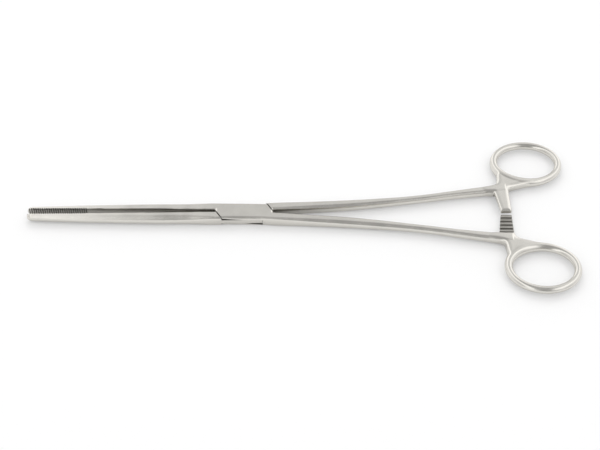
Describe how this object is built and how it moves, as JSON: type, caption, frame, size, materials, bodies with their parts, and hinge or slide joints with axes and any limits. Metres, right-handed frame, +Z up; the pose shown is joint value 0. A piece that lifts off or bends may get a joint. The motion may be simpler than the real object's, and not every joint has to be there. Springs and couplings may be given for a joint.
{
  "type": "uterine dressing forceps",
  "caption": "Long slender ringed forceps with a box joint, straight cross-ridged jaws and a toothed catch between the shanks.",
  "frame": {"origin": "on the axis of the pivot pin, in the plane of the box's lower flat face, which lies on the table", "axes": "+X along the tool towards the finger rings, +Z up along the pivot pin"},
  "size_m": [0.2592, 0.0936, 0.0056],
  "materials": {
    "satin_steel": "satin",
    "pin_steel": "ground flush, satin"
  },
  "bodies": {
    "female_side": {"female_arm": "satin_steel", "pivot_pin": "pin_steel"},
    "male_side": {"male_arm": "satin_steel"}
  },
  "joints": [
    {"name": "box_joint", "type": "hinge", "parent": "female_side", "child": "male_side", "pos_m": [0, 0, 0.0028], "axis": [0, 0, 1], "range_deg": [-1.5, 60]}
  ]
}
